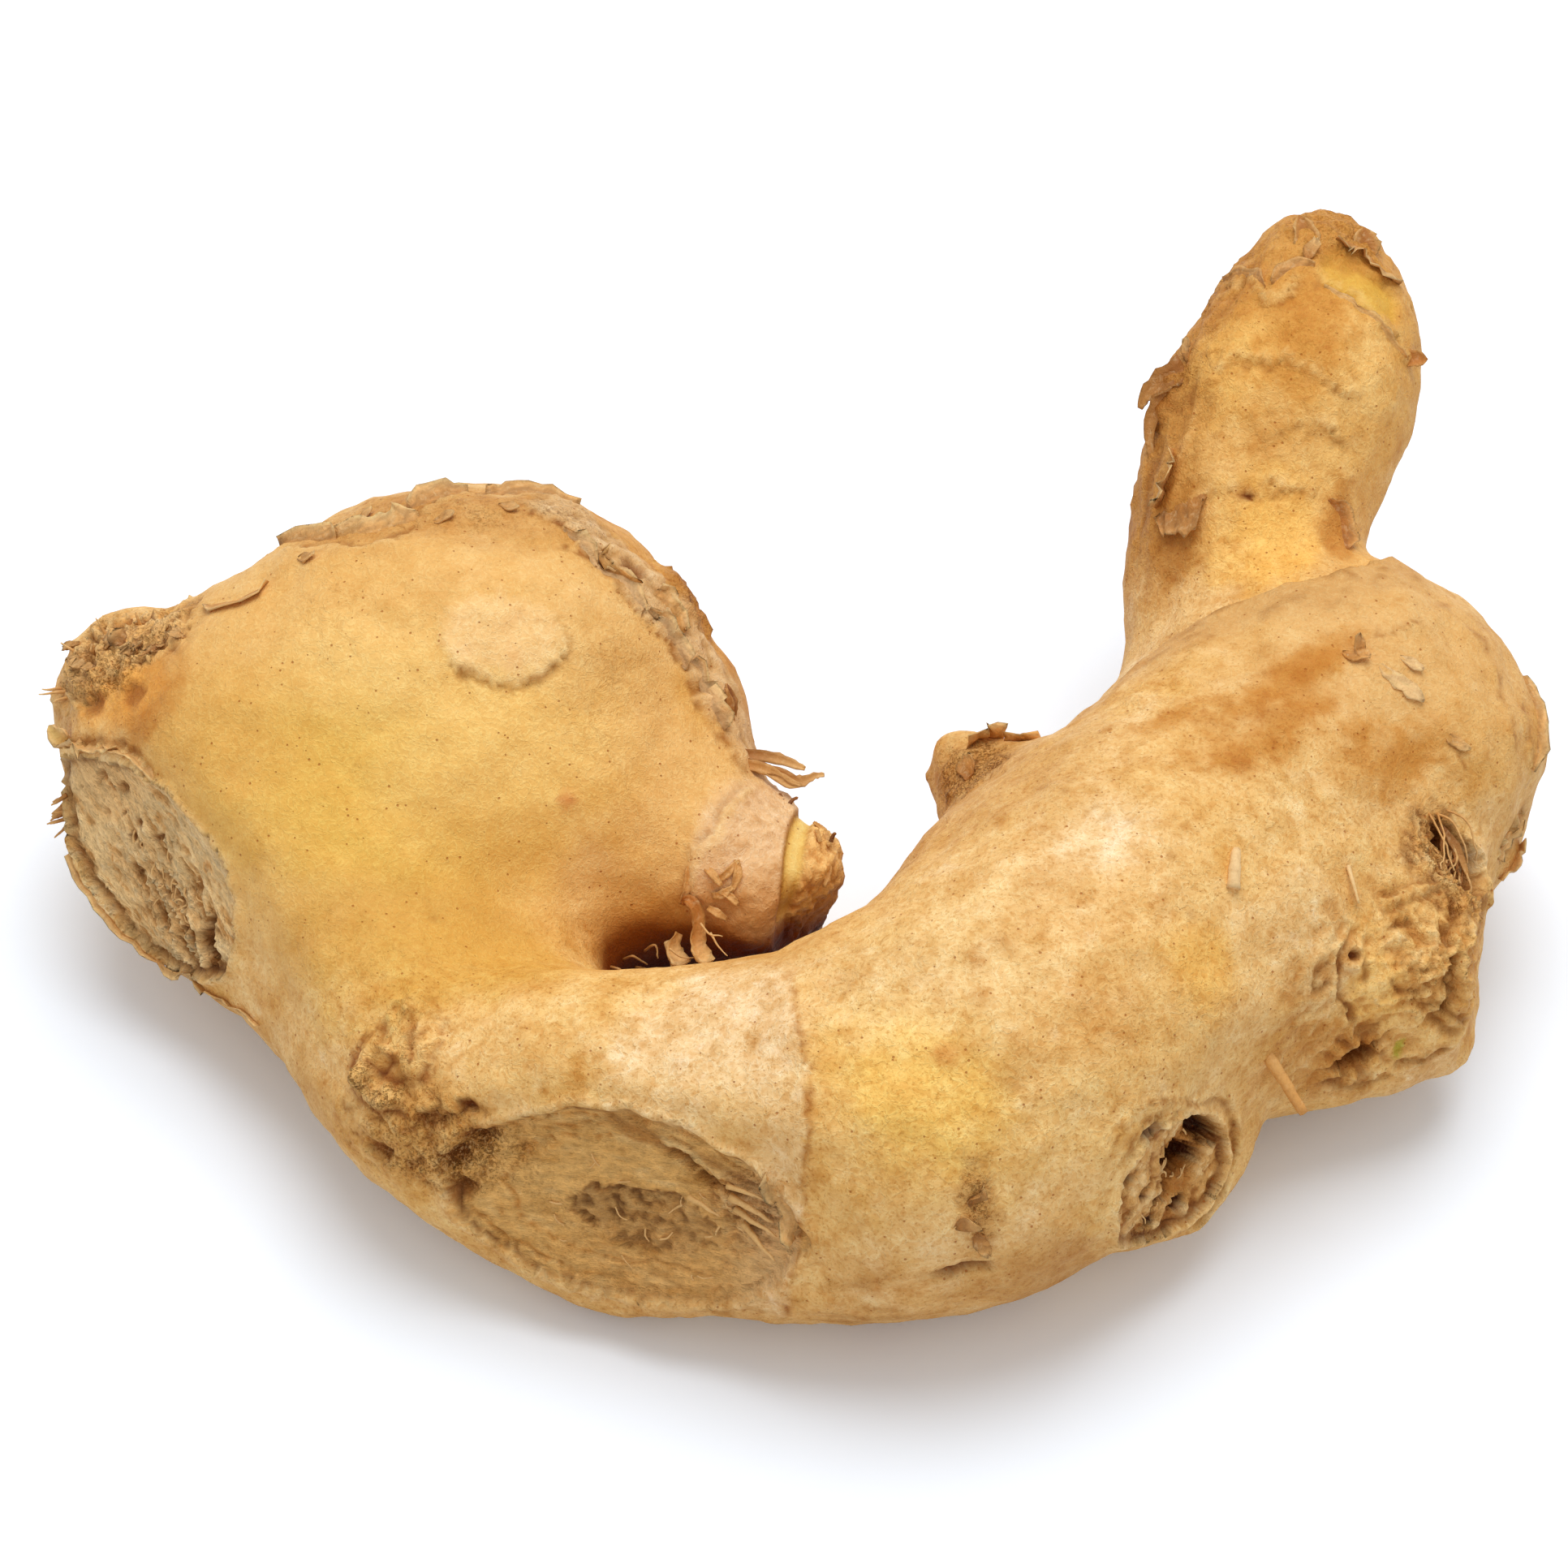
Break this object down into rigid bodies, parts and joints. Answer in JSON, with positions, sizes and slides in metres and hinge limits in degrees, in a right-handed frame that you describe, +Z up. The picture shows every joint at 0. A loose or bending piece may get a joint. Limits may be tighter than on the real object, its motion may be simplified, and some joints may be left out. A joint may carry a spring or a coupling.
{
  "type": "ginger root",
  "caption": "Whole fresh ginger rhizome: a curved arm with a swollen lobe at one end, a knob and a raised finger at the other, and dry scars where older limbs broke off.",
  "frame": {"origin": "centre of the bounding box, on the surface that the rhizome rests on", "axes": "+X along the rhizome from the old broken end to the young knob, +Y from the front edge to the raised finger, +Z up"},
  "size_m": [0.1252, 0.098, 0.0436],
  "materials": {
    "skin": "dry papery plant skin, tan over a yellow underskin, matt with a faint sheen",
    "dry_scale": "torn dry scale leaf, pale tan to brown, matt",
    "root_fibre": "dry root hair and torn fibre, pale orange tan, matt"
  },
  "bodies": {
    "root": {"ginger_rhizome": "skin"}
  },
  "joints": []
}
